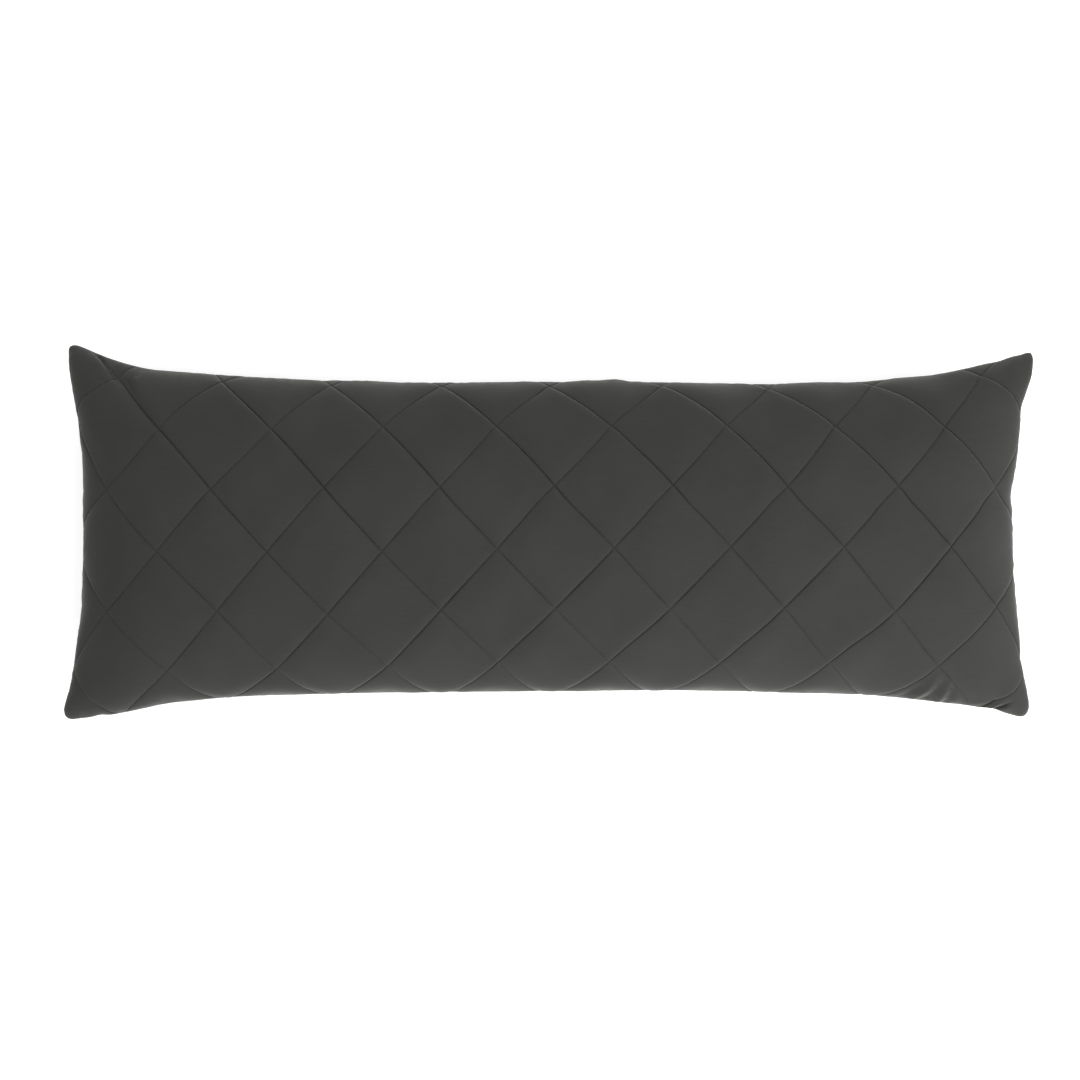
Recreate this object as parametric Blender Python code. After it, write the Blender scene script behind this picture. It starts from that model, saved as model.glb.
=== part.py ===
"""A quilted body pillow, filled and sewn shut, lying on its back.

Two equal oblong panels, quilted in diamonds, are joined by one seam all round. The filling lifts
each panel into a crown and draws the edges in, so that only the four corners keep their reach.
The whole pillow is one closed solid. Its grid follows the quilting, so that every stitch line runs
along the diagonals of the grid, and it is flat underneath, where it rests.

Metres, +Z up, length along X. The origin is on the surface, under the middle of the pillow.
A point of a panel is named by its place on the flat panel as cut: cut_x and cut_y, from the
panel's middle. Shares run from -1 at one edge of the pillow to 1 at the other.
"""

from collections import namedtuple

import bmesh
import bpy
import numpy as np

MM = 0.001

# Each panel as it is cut, from seam to seam.
CUT_LENGTH = 1372 * MM
CUT_WIDTH = 508 * MM
CORNER_ROUND = 18 * MM

# The filled pillow: the seam's height, and the upper panel's rise over it.
SEAM_HEIGHT = 82 * MM
CROWN = 118 * MM
END_POWER = 5  # blunt towards the two ends
SIDE_POWER = 2.4  # round towards the two long sides
END_STEEPNESS = 0.43  # under 1 the cloth stands steeply over the seam: at the two ends
SIDE_STEEPNESS = 0.55  # and along the two long sides
END_TUCK = 14 * MM  # how far the seam is drawn in under the bulge over it, at the ends
SIDE_TUCK = 3 * MM
TUCK_HEIGHT = 0.4  # share of the crown up to which the bulge reaches
EAR_DROOP = 14 * MM  # how far a corner hangs under the rest of the seam
EAR_POWER = 6

# The stretch of the lower panel that its weight presses flat, as cut, and how roundly the panel
# turns up from there to the seam.
REST_LENGTH = 1010 * MM
REST_WIDTH = 296 * MM
REST_POWER = 2
REST_STEEPNESS = 0.7

# Where each edge of the filled pillow lies in plan: stations along it, and how far out it is there.
BACK_EDGE = MM * np.array([  # x and y, from left to right
    (-639, 251.0), (-617, 245.2), (-601, 238.5), (-583, 231.5), (-564, 225.4), (-546, 220.7),
    (-530, 217.2), (-517, 215.3), (-506, 214.5), (-485, 213.0), (-450, 210.5), (-413, 208.0),
    (-366, 205.1), (-314, 202.1), (-248, 201.6), (-168, 198.9), (-89, 199.3), (-10, 200.4),
    (32, 200.2), (56, 201.2), (76, 201.6), (96, 202.9), (111, 200.6), (129, 199.8), (175, 199.6),
    (228, 198.2), (294, 197.1), (360, 198.5), (426, 200.1), (478, 205.5), (518, 208.9),
    (544, 214.0), (565, 218.6), (584, 223.3), (602, 227.0), (618, 232.7), (631, 235.8),
    (646, 242.5),
])
FRONT_EDGE = MM * np.array([  # x and y, from left to right
    (-644, -251.5), (-623, -248.4), (-607, -246.8), (-592, -243.5), (-582, -243.8),
    (-564, -241.0), (-549, -238.3), (-533, -234.7), (-517, -231.1), (-501, -228.2),
    (-480, -226.1), (-446, -222.9), (-393, -219.6), (-327, -217.6), (-248, -215.6),
    (-155, -214.2), (-63, -213.2), (43, -212.8), (148, -211.9), (241, -212.6), (333, -215.1),
    (412, -216.8), (472, -221.2), (525, -227.2), (558, -230.9), (577, -233.7), (595, -235.5),
    (608, -240.6), (621, -244.3), (639, -249.0),
])
LEFT_EDGE = MM * np.array([  # y and x, from front to back
    (-252, -644.0), (-225, -638.9), (-209, -633.5), (-191, -629.5), (-169, -625.4),
    (-143, -621.3), (-110, -617.4), (-64, -614.0), (-18, -612.7), (29, -612.9), (75, -614.4),
    (114, -616.6), (139, -619.4), (158, -622.6), (174, -625.9), (190, -629.3), (205, -632.0),
    (221, -634.4), (234, -635.1), (251, -639.0),
])
RIGHT_EDGE = MM * np.array([  # y and x, from front to back
    (-249, 639.0), (-222, 637.5), (-204, 633.5), (-185, 629.1), (-167, 624.7), (-150, 623.8),
    (-117, 620.0), (-77, 614.8), (-37, 611.3), (2, 610.2), (29, 610.3), (42, 609.2), (52, 610.2),
    (68, 613.5), (95, 618.2), (121, 621.5), (147, 624.2), (163, 626.2), (179, 631.7),
    (195, 637.5), (211, 642.5), (224, 643.9), (242, 646.5),
])

# The quilting: diamonds, corner to corner, and where one crossing lies on the upper panel.
DIAMOND_LENGTH = 151 * MM
DIAMOND_WIDTH = 162 * MM
CROSSING_X = 5 * MM
CROSSING_Y = 66 * MM
QUILT_LEAN = -2 * MM  # how far the cloth is pulled along the back edge, and back along the front
CROWN_SPREAD = 9 * MM  # how far the crown draws the cloth towards the ends, and the long seams don't
SPREAD_MIDDLE = -0.6  # share of the length where it isn't drawn either way
CHANNEL_DEPTH = 3 * MM
CHANNEL_REACH = 0.25  # share of a diamond over which the cloth rises from a stitch line
SEAM_FADE = 30 * MM  # stretch beside the seam where the channels run out

# How far the upper panel has slipped over the filling at each crossing, in mm along and across, row
# by row from the back one, and from left to right.
SLIPS = (
    ((6.5, -11), (0.5, -11), (0, -11), (0.5, -7), (-1.5, -11), (2, -7.5), (-3.5, -11), (-9, -3),
     (-10.5, -2)),
    ((4.5, -11), (6, -11), (2.5, -5.5), (1, -4.5), (1.5, -7), (2.5, -1.5), (-5, -1.5),
     (-7, -3.5)),
    ((7.5, -11), (5, -8.5), (2, -4.5), (1.5, -3.5), (-1, -3), (1, -2), (-1.5, -1), (-6, -1),
     (-9.5, -6.5)),
    ((8, -1.5), (4, -3.5), (2.5, -2.5), (0, 0), (0, -0.5), (-1, 3), (-4.5, 4), (-9, 3.5)),
    ((6.5, 4), (11, 4.5), (5, 0.5), (1, 5), (-2, 5.5), (-4, 4.5), (-7, 8), (-10.5, 3),
     (-11, 5.5)),
    ((11, 3.5), (8.5, 3.5), (6.5, 7), (1.5, 11), (-1.5, 11), (-5, 8.5), (-10.5, 11), (-11, 7)),
)
SLIP_FADE = 25 * MM  # stretch beside the seam where the slips run out

# Where the filling lifts the upper panel more or less than a smooth crown.
Swell = namedtuple("Swell", "x y reach rise")
SWELLS = [
    Swell(-390 * MM, 95 * MM, 150 * MM, -4 * MM),
    Swell(-180 * MM, -70 * MM, 170 * MM, 3 * MM),
    Swell(250 * MM, -90 * MM, 190 * MM, 4 * MM),
    Swell(420 * MM, 110 * MM, 150 * MM, -3 * MM),
    Swell(-560 * MM, -40 * MM, 110 * MM, 3 * MM),
]

# Creases that run into a corner, each from one place on its panel to another. Panels are +1 for
# the upper one and -1 for the lower one.
Crease = namedtuple("Crease", "panel start_x start_y end_x end_y reach depth")
CREASES = [
    Crease(+1, -640 * MM, 242 * MM, -528 * MM, 125 * MM, 24 * MM, 7 * MM),
    Crease(+1, 596 * MM, -236 * MM, 520 * MM, -150 * MM, 20 * MM, 3 * MM),
    Crease(-1, 620 * MM, 236 * MM, 540 * MM, 150 * MM, 24 * MM, 5 * MM),
    Crease(-1, -620 * MM, -236 * MM, -540 * MM, -150 * MM, 24 * MM, 5 * MM),
]

# The grid: steps from one crossing to the next, and a narrow band beside the seam.
STEPS = 4
SEAM_BAND = 8 * MM

CLOTH_COLOUR = (0.055, 0.055, 0.052, 1.0)
CLOTH_ROUGHNESS = 0.85


def profile(share, power, steepness):
    """A crown's height over its width: 1 in the middle, 0 at the seam."""
    return np.maximum(1 - np.abs(share) ** power, 0) ** steepness


def tucked(height):
    """1 at the seam, falling to 0 where the bulge over it begins: a height is a share of the crown."""
    return np.clip(1 - height / TUCK_HEIGHT, 0, 1) ** 2


def along_cloth(cut_share, half_span, tuck, power, steepness):
    """Turns a share measured along the bulging cloth into the share of the span that it covers."""
    share = np.sin(np.linspace(0, np.pi / 2, 600))
    height = profile(share, power, steepness)
    steps = np.hypot(np.diff(half_span * share - tuck * tucked(height)), np.diff(CROWN * height))
    cloth = np.concatenate([[0], np.cumsum(steps)])
    return np.sign(cut_share) * np.interp(np.abs(cut_share), cloth / cloth[-1], share)


def between(low, high, share):
    """The place at a share of the way from low, at -1, to high, at 1."""
    return (low * (1 - share) + high * (1 + share)) / 2


def edge_place(edge, share):
    """How far out an edge is at a share of its length, on a smooth curve through its stations."""
    station, out = edge.T
    slope = np.gradient(out, station)
    place = between(station[0], station[-1], share)
    left = np.clip(np.searchsorted(station, place) - 1, 0, len(station) - 2)
    right = left + 1
    gap = station[right] - station[left]
    t = (place - station[left]) / gap
    curve = out[left] * (1 + 2 * t) * (1 - t) ** 2 + out[right] * (3 - 2 * t) * t**2
    return curve + gap * t * (1 - t) * (slope[left] * (1 - t) - slope[right] * t)


def to_seam(cut_x, cut_y):
    """How far points of the flat panel are from its nearest edge."""
    return np.minimum(CUT_LENGTH / 2 - np.abs(cut_x), CUT_WIDTH / 2 - np.abs(cut_y))


def cubic_weight(away):
    """How much a lattice point counts this many steps away from it: 1 at it, 0 at every other."""
    away = np.minimum(np.abs(away), 2)
    near = 1 - 2.5 * away**2 + 1.5 * away**3
    far = 2 - 4 * away + 2.5 * away**2 - 0.5 * away**3
    return np.where(away < 1, near, far)


def slipped(cut_x, cut_y):
    """The places on an even panel that the points of the slipped cloth have come to."""
    along, across = (cut_x - CROSSING_X) / DIAMOND_LENGTH, (cut_y - CROSSING_Y) / DIAMOND_WIDTH
    fade = np.clip(to_seam(cut_x, cut_y) / SLIP_FADE, 0, 1)
    for row, slips in enumerate(SLIPS):
        away_y = across - 1 + row / 2
        for column, (slip_x, slip_y) in enumerate(slips):
            away_x = along + 4 - column - row % 2 / 2
            share = fade
            for away in (away_x + away_y, away_x - away_y):
                share = share * cubic_weight(away)
            cut_x = cut_x + share * slip_x * MM
            cut_y = cut_y + share * slip_y * MM
    return cut_x, cut_y


def corner_offset(cut_x, cut_y):
    """How far a point near a corner moves when the square corner is drawn into a round one."""
    u = np.clip((np.abs(cut_x) - CUT_LENGTH / 2) / CORNER_ROUND + 1, 0, 1)
    v = np.clip((np.abs(cut_y) - CUT_WIDTH / 2) / CORNER_ROUND + 1, 0, 1)
    inward_x = CORNER_ROUND * u * (1 - np.sqrt(1 - v**2 / 2))
    inward_y = CORNER_ROUND * v * (1 - np.sqrt(1 - u**2 / 2))
    return -np.sign(cut_x) * inward_x, -np.sign(cut_y) * inward_y


def turned_up(cut, rest_size, cut_size):
    """0 where the lower panel lies flat, rising to 1 at the seam."""
    return np.clip((2 * np.abs(cut) - rest_size) / (cut_size - rest_size), 0, 1)


def smooth_fill(cut_x, cut_y, panel):
    """Where points of a panel lie on the filled pillow, before the quilting draws them in."""
    if panel > 0:
        cut_x, cut_y = slipped(cut_x, cut_y)
    s, t = cut_x / (CUT_LENGTH / 2), cut_y / (CUT_WIDTH / 2)
    half_length = (edge_place(RIGHT_EDGE, 0) - edge_place(LEFT_EDGE, 0)) / 2
    half_width = (edge_place(BACK_EDGE, 0) - edge_place(FRONT_EDGE, 0)) / 2
    along = s + (along_cloth(s, half_length, END_TUCK, END_POWER, END_STEEPNESS) - s) * (1 - t**2)
    bulging = 1 - np.abs(s) ** END_POWER
    settled = along_cloth(t, half_width, SIDE_TUCK, SIDE_POWER, SIDE_STEEPNESS)
    across = t + (settled - t) * bulging

    offset_x, offset_y = corner_offset(cut_x, cut_y)
    drawn = QUILT_LEAN * across * (1 - s**2)
    drawn += CROWN_SPREAD * (s - SPREAD_MIDDLE) * (1 - 2 * t**2) * bulging
    x = between(edge_place(LEFT_EDGE, across), edge_place(RIGHT_EDGE, across), along)
    y = between(edge_place(FRONT_EDGE, along), edge_place(BACK_EDGE, along), across)

    seam = SEAM_HEIGHT - EAR_DROOP * (np.abs(along) * np.abs(across)) ** EAR_POWER
    if panel > 0:
        crown = CROWN
        for swell in SWELLS:
            away = np.hypot(cut_x - swell.x, cut_y - swell.y) / swell.reach
            crown = crown + swell.rise * np.exp(-(away**2))
        full_length = profile(along, END_POWER, END_STEEPNESS)
        full_width = profile(across, SIDE_POWER, SIDE_STEEPNESS)
        height = seam + crown * full_length * full_width
    else:
        turned_x = turned_up(cut_x, REST_LENGTH, CUT_LENGTH)
        turned_y = turned_up(cut_y, REST_WIDTH, CUT_WIDTH)
        full_length = profile(turned_x, REST_POWER, REST_STEEPNESS)
        full_width = profile(turned_y, REST_POWER, REST_STEEPNESS)
        height = seam * (1 - full_length * full_width)
    x = x + offset_x + drawn - END_TUCK * np.sign(s) * tucked(full_length) * (1 - across**2)
    y = y + offset_y - SIDE_TUCK * np.sign(t) * tucked(full_width) * bulging
    return np.stack([x, y, height])


def inward(cut_x, cut_y, panel):
    """The direction into the pillow at points of a panel."""
    step = 1 * MM
    half_length, half_width = CUT_LENGTH / 2 - step, CUT_WIDTH / 2 - step
    x, y = np.clip(cut_x, -half_length, half_length), np.clip(cut_y, -half_width, half_width)
    along = smooth_fill(x + step, y, panel) - smooth_fill(x - step, y, panel)
    across = smooth_fill(x, y + step, panel) - smooth_fill(x, y - step, panel)
    normal = -panel * np.cross(along, across, axis=0)
    return normal / np.linalg.norm(normal, axis=0)


def puff(cut_x, cut_y):
    """0 on a stitch line, rising to 1 on the loose cloth between them."""
    rise = 1
    for lean in (1, -1):
        count = (cut_x - CROSSING_X) / DIAMOND_LENGTH + lean * (cut_y - CROSSING_Y) / DIAMOND_WIDTH
        from_line = np.abs(count - np.round(count))
        rise = rise * (1 - np.clip(1 - from_line / CHANNEL_REACH, 0, 1) ** 2)
    return rise


def crease_depth(cut_x, cut_y, panel):
    """How far the corner creases draw the cloth in."""
    depth = 0
    for crease in CREASES:
        if crease.panel == panel:
            run_x, run_y = crease.end_x - crease.start_x, crease.end_y - crease.start_y
            share = (cut_x - crease.start_x) * run_x + (cut_y - crease.start_y) * run_y
            share = np.clip(share / (run_x**2 + run_y**2), 0, 1)
            away_x = cut_x - crease.start_x - share * run_x
            away_y = cut_y - crease.start_y - share * run_y
            away = np.hypot(away_x, away_y) / crease.reach
            depth = depth + crease.depth * np.exp(-(away**2)) * (1 - share**2)
    return depth


def panel_points(cut_x, cut_y, panel):
    """Where points of a panel lie on the finished pillow."""
    fade = np.clip(to_seam(cut_x, cut_y) / SEAM_FADE, 0, 1)
    depth = CHANNEL_DEPTH * (1 - puff(cut_x, cut_y)) + crease_depth(cut_x, cut_y, panel)
    points = smooth_fill(cut_x, cut_y, panel)
    points += depth * fade * (2 - fade) * inward(cut_x, cut_y, panel)
    return points


def grid_lines(half, step, offset):
    """Grid lines over a panel: on the quilting's steps, with a band beside each seam."""
    room = half - SEAM_BAND - step / 3
    count = np.arange(np.ceil((-room - offset) / step), np.floor((room - offset) / step) + 1)
    return np.array([-half, SEAM_BAND - half, *(offset + step * count), half - SEAM_BAND, half])


def add_panel(mesh, panel):
    """Adds one panel's grid, with each square split the way that its stitch line runs, and those at
    the corners split through the corner."""
    lines_x = grid_lines(CUT_LENGTH / 2, DIAMOND_LENGTH / 2 / STEPS, CROSSING_X)
    lines_y = grid_lines(CUT_WIDTH / 2, DIAMOND_WIDTH / 2 / STEPS, CROSSING_Y)
    grid = bmesh.ops.create_grid(
        mesh, x_segments=len(lines_x) - 1, y_segments=len(lines_y) - 1, size=1
    )["verts"]
    column = np.array([round((vert.co.x + 1) / 2 * (len(lines_x) - 1)) for vert in grid])
    row = np.array([round((vert.co.y + 1) / 2 * (len(lines_y) - 1)) for vert in grid])
    cut_x, cut_y = lines_x[column], lines_y[row]
    corner = (np.abs(cut_x) == CUT_LENGTH / 2) & (np.abs(cut_y) == CUT_WIDTH / 2)
    loose = dict(zip(grid, np.where(corner, -2, puff(cut_x, cut_y))))
    for vert, place in zip(grid, panel_points(cut_x, cut_y, panel).T):
        vert.co = place
    squares = [face for face in mesh.faces if len(face.verts) == 4]
    for square in squares:
        a, b, c, d = square.verts
        if loose[a] + loose[c] < loose[b] + loose[d]:
            bmesh.utils.face_split(square, a, c)
        else:
            bmesh.utils.face_split(square, b, d)


def centre(mesh):
    """Puts the middle of the pillow's outline over the origin."""
    places = np.array([vert.co for vert in mesh.verts])
    middle = (places.min(axis=0) + places.max(axis=0)) / 2
    bmesh.ops.translate(mesh, verts=mesh.verts, vec=(-middle[0], -middle[1], 0))


def make_pillow():
    """The two panels, sewn together along the seam."""
    mesh = bmesh.new()
    for panel in (+1, -1):
        add_panel(mesh, panel)
    bmesh.ops.remove_doubles(mesh, verts=mesh.verts, dist=0.05 * MM)
    bmesh.ops.recalc_face_normals(mesh, faces=mesh.faces)
    centre(mesh)
    data = bpy.data.meshes.new("pillow")
    mesh.to_mesh(data)
    mesh.free()
    data.shade_smooth()
    return bpy.data.objects.new("pillow", data)


def brushed_cloth():
    """Charcoal cloth with a short brushed pile."""
    material = bpy.data.materials.new("brushed_cloth")
    material.use_nodes = True
    shader = material.node_tree.nodes["Principled BSDF"]
    shader.inputs["Base Color"].default_value = CLOTH_COLOUR
    shader.inputs["Roughness"].default_value = CLOTH_ROUGHNESS
    shader.inputs["Metallic"].default_value = 0.0
    return material


def main():
    for old in list(bpy.data.objects):
        bpy.data.objects.remove(old)
    collection = bpy.data.collections.new("body_pillow")
    bpy.context.scene.collection.children.link(collection)
    pillow = make_pillow()
    pillow.data.materials.append(brushed_cloth())
    collection.objects.link(pillow)


main()
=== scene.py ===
"""A quilted body pillow, lying on its back: its cloth cover, its quilting stitches and its stage.

The cover is two equal oblong panels, quilted in diamonds and sewn together all round. A point of a
panel is named by its place on the flat panel as cut: cut_x and cut_y, from the panel's middle.
The filled shape is worked out at any such place, so the cover, the cloth that settles over the
filling and each stitch all read the same functions. Metres, +Z up, length along X.
"""

from collections import namedtuple

import bmesh
import bpy
import numpy as np
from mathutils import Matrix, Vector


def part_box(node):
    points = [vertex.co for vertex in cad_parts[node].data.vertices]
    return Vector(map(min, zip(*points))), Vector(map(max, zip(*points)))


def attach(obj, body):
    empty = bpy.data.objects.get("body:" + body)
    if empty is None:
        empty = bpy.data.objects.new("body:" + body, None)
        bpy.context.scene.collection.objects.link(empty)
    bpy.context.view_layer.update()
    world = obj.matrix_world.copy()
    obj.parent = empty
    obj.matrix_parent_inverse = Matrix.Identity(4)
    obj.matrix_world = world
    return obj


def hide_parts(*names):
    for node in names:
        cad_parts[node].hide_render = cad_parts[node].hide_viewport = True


bl_info = {
    "name": "Quilted Body Pillow",
    "version": (1, 0, 0),
    "blender": (4, 5, 0),
    "location": "3D View > Sidebar > Pillow",
    "description": "Builds a diamond-quilted body pillow, its stitches and a plain studio",
    "category": "Object",
}

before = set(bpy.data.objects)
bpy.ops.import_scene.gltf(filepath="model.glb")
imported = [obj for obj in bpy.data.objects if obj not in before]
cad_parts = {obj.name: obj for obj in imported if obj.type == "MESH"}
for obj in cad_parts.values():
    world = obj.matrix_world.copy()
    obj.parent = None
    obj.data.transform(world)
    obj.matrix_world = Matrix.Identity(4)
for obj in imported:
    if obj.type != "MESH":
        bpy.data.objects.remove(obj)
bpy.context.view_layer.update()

MM = 0.001
BODY = "root"
NODE = "pillow"


def number(name, description, default, unit="NONE"):
    """A number that the user may change."""
    return bpy.props.FloatProperty(name=name, description=description, default=default, unit=unit)


def measure(name, description, millimetres):
    """A length that the user may change."""
    return number(name, description, millimetres * MM, "LENGTH")


def colour(name, description, shade):
    """A colour that the user may change."""
    return bpy.props.FloatVectorProperty(
        name=name, description=description, default=(*shade, 1.0), subtype="COLOR", size=4
    )


# --- The filled shape, as the part has it ---

# Each panel as it is cut, from seam to seam.
CUT_LENGTH = 1372 * MM
CUT_WIDTH = 508 * MM
HALF_CUT = np.array([CUT_LENGTH, CUT_WIDTH]) / 2
CORNER_ROUND = 18 * MM

# The filled pillow: the seam's height, and how far and how roundly the upper panel rises over it.
SEAM_HEIGHT = 82 * MM
CROWN = 118 * MM
END_POWER = 5
SIDE_POWER = 2.4
END_STEEPNESS = 0.43
SIDE_STEEPNESS = 0.55
END_TUCK = 14 * MM  # how far the seam is drawn in under the bulge, half way along each end
SIDE_TUCK = 3 * MM  # and half way along each side
TUCK_HEIGHT = 0.4  # share of the crown's height at which the bulge is widest
CLOTH_STEPS = 600  # steps in which the bulging cloth's length is added up
EAR_DROOP = 14 * MM  # how far the seam sinks at the corners, and how suddenly
EAR_POWER = 6

# The stretch of the lower panel that lies flat, as cut, and how roundly it turns up from there.
REST_LENGTH = 1010 * MM
REST_WIDTH = 296 * MM
REST_POWER = 2
REST_STEEPNESS = 0.7

# Where each edge of the filled pillow lies in plan: stations along it, and how far out it is there.
BACK_EDGE = MM * np.array([  # x and y, from left to right
    (-639, 251.0), (-617, 245.2), (-601, 238.5), (-583, 231.5), (-564, 225.4), (-546, 220.7),
    (-530, 217.2), (-517, 215.3), (-506, 214.5), (-485, 213.0), (-450, 210.5), (-413, 208.0),
    (-366, 205.1), (-314, 202.1), (-248, 201.6), (-168, 198.9), (-89, 199.3), (-10, 200.4),
    (32, 200.2), (56, 201.2), (76, 201.6), (96, 202.9), (111, 200.6), (129, 199.8), (175, 199.6),
    (228, 198.2), (294, 197.1), (360, 198.5), (426, 200.1), (478, 205.5), (518, 208.9),
    (544, 214.0), (565, 218.6), (584, 223.3), (602, 227.0), (618, 232.7), (631, 235.8),
    (646, 242.5),
])
FRONT_EDGE = MM * np.array([  # x and y, from left to right
    (-644, -251.5), (-623, -248.4), (-607, -246.8), (-592, -243.5), (-582, -243.8),
    (-564, -241.0), (-549, -238.3), (-533, -234.7), (-517, -231.1), (-501, -228.2),
    (-480, -226.1), (-446, -222.9), (-393, -219.6), (-327, -217.6), (-248, -215.6),
    (-155, -214.2), (-63, -213.2), (43, -212.8), (148, -211.9), (241, -212.6), (333, -215.1),
    (412, -216.8), (472, -221.2), (525, -227.2), (558, -230.9), (577, -233.7), (595, -235.5),
    (608, -240.6), (621, -244.3), (639, -249.0),
])
LEFT_EDGE = MM * np.array([  # y and x, from front to back
    (-252, -644.0), (-225, -638.9), (-209, -633.5), (-191, -629.5), (-169, -625.4),
    (-143, -621.3), (-110, -617.4), (-64, -614.0), (-18, -612.7), (29, -612.9), (75, -614.4),
    (114, -616.6), (139, -619.4), (158, -622.6), (174, -625.9), (190, -629.3), (205, -632.0),
    (221, -634.4), (234, -635.1), (251, -639.0),
])
RIGHT_EDGE = MM * np.array([  # y and x, from front to back
    (-249, 639.0), (-222, 637.5), (-204, 633.5), (-185, 629.1), (-167, 624.7), (-150, 623.8),
    (-117, 620.0), (-77, 614.8), (-37, 611.3), (2, 610.2), (29, 610.3), (42, 609.2), (52, 610.2),
    (68, 613.5), (95, 618.2), (121, 621.5), (147, 624.2), (163, 626.2), (179, 631.7),
    (195, 637.5), (211, 642.5), (224, 643.9), (242, 646.5),
])

# The quilting: diamonds, corner to corner, and where one crossing lies on the upper panel.
DIAMOND_LENGTH = 151 * MM
DIAMOND_WIDTH = 162 * MM
DIAMOND_SPAN = np.hypot(DIAMOND_LENGTH, DIAMOND_WIDTH)  # twice a diamond's side
LINE_SPACING = DIAMOND_LENGTH * DIAMOND_WIDTH / DIAMOND_SPAN
CROSSING_X = 5 * MM
CROSSING_Y = 66 * MM
QUILT_LEAN = -2 * MM  # how far the cloth lies to the right at the back, and to the left in front
CROWN_SPREAD = 9 * MM  # how far the cloth on the crown is spread along the pillow,
SPREAD_MIDDLE = -0.6  # away from this share of the way from its middle to its right end
CHANNEL_DEPTH = 1.6 * MM  # the wide dip along each stitch line
CHANNEL_REACH = 0.25  # share of the lines' spacing that it takes up on each side of the line
SEAM_FADE = 30 * MM  # stretch beside the seam where the quilting runs out
END_FADE = 90 * MM  # stretch beside each end where the cloth between the lines lies flatter
FALL_WIDTH = 80 * MM  # from the middle line to where the cloth falls away fully to one side
LEFT_FALL = 0.5  # share of that fall which the left end adds
END_FALL = 3  # how strongly the cloth falls towards the ends, and how suddenly it begins to
END_FALL_POWER = 5

# How far the upper panel has slipped over the filling at each crossing, in mm along and across, row
# by row from the back one, and from left to right.
SLIPS = (
    ((6.5, -11), (0.5, -11), (0, -11), (0.5, -7), (-1.5, -11), (2, -7.5), (-3.5, -11), (-9, -3),
     (-10.5, -2)),
    ((4.5, -11), (6, -11), (2.5, -5.5), (1, -4.5), (1.5, -7), (2.5, -1.5), (-5, -1.5),
     (-7, -3.5)),
    ((7.5, -11), (5, -8.5), (2, -4.5), (1.5, -3.5), (-1, -3), (1, -2), (-1.5, -1), (-6, -1),
     (-9.5, -6.5)),
    ((8, -1.5), (4, -3.5), (2.5, -2.5), (0, 0), (0, -0.5), (-1, 3), (-4.5, 4), (-9, 3.5)),
    ((6.5, 4), (11, 4.5), (5, 0.5), (1, 5), (-2, 5.5), (-4, 4.5), (-7, 8), (-10.5, 3),
     (-11, 5.5)),
    ((11, 3.5), (8.5, 3.5), (6.5, 7), (1.5, 11), (-1.5, 11), (-5, 8.5), (-10.5, 11), (-11, 7)),
)
SLIP_FADE = 25 * MM  # stretch beside the seam where the slips run out

# Where the filling lifts the upper panel or leaves it lower, in mm.
Swell = namedtuple("Swell", "x y reach rise")
SWELLS = [Swell(*sizes) for sizes in MM * np.array([
    (-390, 95, 150, -4),
    (-180, -70, 170, 3),
    (250, -90, 190, 4),
    (420, 110, 150, -3),
    (-560, -40, 110, 3),
])]

# The back left corner's gathers: where they pull the stitch lines aside, and by how much.
GATHERS_X = -625 * MM
GATHERS_REACH = 45 * MM
GATHERS_START = 212 * MM
GATHERS_WIDTH = 40 * MM
GATHERS_POWER = 1.5
GATHERS_PULL = 13 * MM

# Creases, each from one place on its panel to another, in mm: where it starts, where it ends, its
# reach and its depth. Panels are +1 for the upper one and -1 for the lower one.
Crease = namedtuple("Crease", "panel start_x start_y end_x end_y reach depth")
CREASES = [Crease(panel, *MM * np.array(sizes)) for panel, *sizes in (
    (+1, -618, 249, -500, 122, 10, 4),
    (+1, 596, -236, 520, -150, 20, 3),
    (-1, 620, 236, 540, 150, 24, 5),
    (-1, -620, -236, -540, -150, 24, 5),
)]

# Small wrinkles beside the corners, which only the cover has. A negative depth is a raised one.
WRINKLES = [Crease(+1, *sizes) for sizes in MM * np.array([
    (-636, 250, -589, 210, 3, 3),
    (-583, 224, -568, 200, 3.5, 1.6),
    (-573, 226, -560, 204, 4, -1.6),
    (520, -242, 538, -184, 6, -3),
    (553, -242, 555, -194, 5, -3),
    (579, -242, 570, -214, 5, -1.2),
    (503, -238, 517, -202, 6, 1.6),
    (537, -242, 546, -198, 5, 2.2),
    (567, -243, 563, -208, 4, 1.5),
    (622, -252, 630, -230, 2.4, 4.5),
    (640, -253, 652, -227, 2.4, 4.5),
    (631, -252, 640, -230, 3, -2.4),
])]

# How many waves make up an unevenness, and their lengths as shares of the one it is named for.
RIPPLES = 9
RIPPLE_LENGTHS = (0.7, 1.5)


def limited(value):
    """A value, held between 0 and 1."""
    return np.clip(value, 0, 1)


def profile(share, power, steepness):
    """A crown's height over its width: 1 in the middle, 0 at the seam."""
    return np.maximum(1 - np.abs(share) ** power, 0) ** steepness


def tucked(height):
    """1 at the seam, falling to 0 where its bulge begins: a height is a share of the crown."""
    return limited(1 - height / TUCK_HEIGHT) ** 2


def along_cloth(cut_share, half_span, tuck, power, steepness):
    """Turns a share measured along the bulging cloth into the share of the span that it covers."""
    share = np.sin(np.linspace(0, np.pi / 2, CLOTH_STEPS))
    height = profile(share, power, steepness)
    steps = np.hypot(np.diff(half_span * share - tuck * tucked(height)), np.diff(CROWN * height))
    cloth = np.concatenate([[0], np.cumsum(steps)])
    return np.sign(cut_share) * np.interp(np.abs(cut_share), cloth / cloth[-1], share)


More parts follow.
